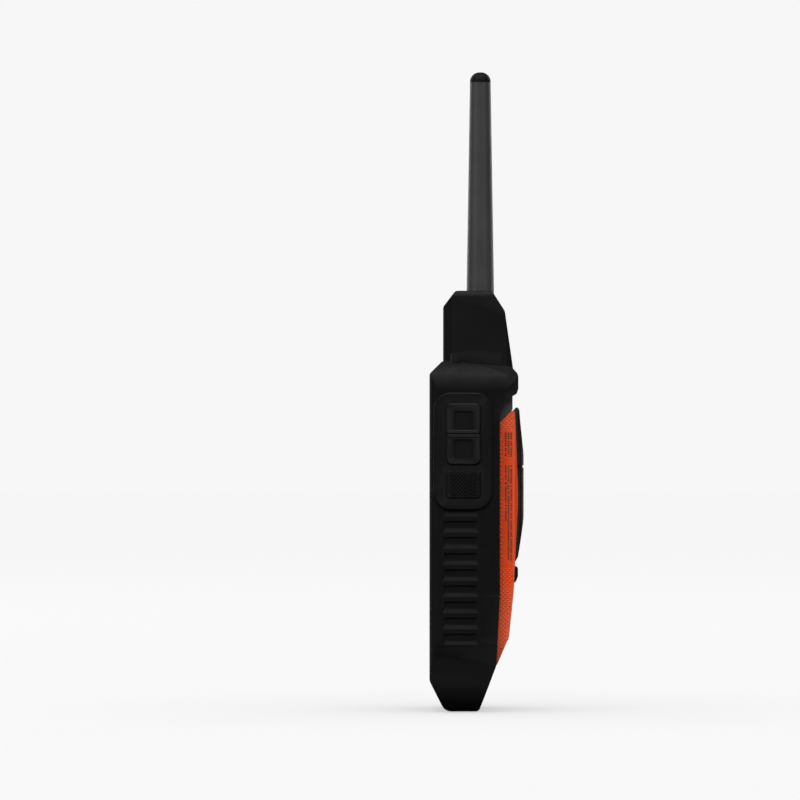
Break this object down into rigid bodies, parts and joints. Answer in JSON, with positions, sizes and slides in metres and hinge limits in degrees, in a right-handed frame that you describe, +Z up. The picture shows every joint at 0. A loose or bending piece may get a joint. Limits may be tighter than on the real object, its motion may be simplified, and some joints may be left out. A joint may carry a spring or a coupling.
{
  "type": "two way radio",
  "caption": "Rugged handheld two way radio in a ribbed black rubber jacket, with a rod antenna, side keys, an orange battery pack, a clip spine and a turning D-ring latch",
  "frame": {"origin": "middle of the footprint's box at the lowest point of the foot", "axes": "+Z up along the antenna, -Y is the front with the display, +Y the battery pack, +X the push-to-talk side"},
  "size_m": [0.0652, 0.0388, 0.265],
  "materials": {
    "rubber": "matte moulded rubber",
    "black_plastic": "fine matte texture",
    "grey_plastic": "matte moulded plastic",
    "orange_plastic": "matte plastic with a fine raised texture",
    "antenna_rubber": "satin rubber",
    "seal_rubber": "soft seal",
    "key_plastic": "satin keys",
    "steel": "plain steel",
    "lens_glass": "clear hardened glass",
    "display": "dark display panel",
    "board": "circuit board",
    "chip": "moulded chips",
    "ceramic_patch": "ceramic aerial",
    "contact_metal": "gold plated contacts",
    "magnet": "speaker with steel magnet cup",
    "cell_wrap": "wrapped flat cells",
    "chassis": "plain cast plate",
    "cable_jacket": "thin coaxial lead",
    "label_film": "printed film"
  },
  "bodies": {
    "radio": {"rubber_jacket": "rubber", "front_housing": "black_plastic", "rear_housing": "grey_plastic", "housing_gasket": "seal_rubber", "housing_screws": "steel", "display_lens": "lens_glass", "display_gasket": "seal_rubber", "display_panel": "display", "chassis_plate": "chassis", "speaker_mesh": "steel", "speaker": "magnet", "microphone": "chip", "main_board": "board", "board_chips": "chip", "rf_shield": "steel", "gps_antenna": "ceramic_patch", "side_switch_board": "board", "side_switches": "chip", "usb_socket": "contact_metal", "headset_jack": "contact_metal", "antenna_sheath": "antenna_rubber", "antenna_cap": "antenna_rubber", "antenna_core": "contact_metal", "antenna_connector": "contact_metal", "antenna_socket": "contact_metal", "feed_cable": "cable_jacket", "contact_springs": "contact_metal"},
    "ptt_button": {"ptt_pad": "rubber", "ptt_key": "black_plastic"},
    "volume_up_button": {"volume_up_pad": "rubber", "volume_up_key": "black_plastic"},
    "volume_down_button": {"volume_down_pad": "rubber", "volume_down_key": "black_plastic"},
    "port_flap": {"side_port_flap": "rubber"},
    "jack_cover": {"top_jack_cover": "rubber"},
    "left_key": {"front_key_left": "key_plastic"},
    "middle_key": {"front_key_middle": "key_plastic"},
    "right_key": {"front_key_right": "key_plastic"},
    "battery_pack": {"battery_shell": "orange_plastic", "battery_tray": "black_plastic", "battery_seal": "seal_rubber", "battery_contacts": "contact_metal", "battery_cells": "cell_wrap", "battery_label": "label_film", "latch_cup": "orange_plastic", "spine_rail": "black_plastic", "clip_spine": "black_plastic", "spine_screws": "steel"},
    "latch": {"latch_knob": "black_plastic", "latch_shaft": "steel", "latch_cam": "steel", "latch_clip": "steel", "latch_seal": "seal_rubber"},
    "bail": {"latch_bail": "steel", "bail_pin": "steel"}
  },
  "joints": [
    {"name": "ptt_press", "type": "slide", "parent": "radio", "child": "ptt_button", "axis": [-1, 0, 0], "range_m": [0, 0.0009], "stiffness_N_per_m": 900},
    {"name": "volume_up_press", "type": "slide", "parent": "radio", "child": "volume_up_button", "axis": [-1, 0, 0], "range_m": [0, 0.0008], "stiffness_N_per_m": 700},
    {"name": "volume_down_press", "type": "slide", "parent": "radio", "child": "volume_down_button", "axis": [-1, 0, 0], "range_m": [0, 0.0008], "stiffness_N_per_m": 700},
    {"name": "left_key_press", "type": "slide", "parent": "radio", "child": "left_key", "axis": [0, 1, 0], "range_m": [0, 0.0005], "stiffness_N_per_m": 600},
    {"name": "middle_key_press", "type": "slide", "parent": "radio", "child": "middle_key", "axis": [0, 1, 0], "range_m": [0, 0.0005], "stiffness_N_per_m": 600},
    {"name": "right_key_press", "type": "slide", "parent": "radio", "child": "right_key", "axis": [0, 1, 0], "range_m": [0, 0.0005], "stiffness_N_per_m": 600},
    {"name": "port_flap_open", "type": "hinge", "parent": "radio", "child": "port_flap", "pos_m": [-0.03075, -0.0074, 0.08345], "axis": [0, -1, 0], "range_deg": [0, 95]},
    {"name": "jack_cover_open", "type": "hinge", "parent": "radio", "child": "jack_cover", "pos_m": [0.014, 0.0101, 0.14419], "axis": [-1, 0, 0], "range_deg": [0, 90]},
    {"name": "pack_lift", "type": "slide", "parent": "radio", "child": "battery_pack", "axis": [0, 1, 0], "range_m": [0, 0.03]},
    {"name": "latch_turn", "type": "hinge", "parent": "battery_pack", "child": "latch", "pos_m": [0, 0.012, 0.0505], "axis": [0, 1, 0], "range_deg": [0, 90]},
    {"name": "bail_fold", "type": "hinge", "parent": "latch", "child": "bail", "pos_m": [0, 0.01385, 0.0569], "axis": [1, 0, 0], "range_deg": [0, 100]}
  ]
}
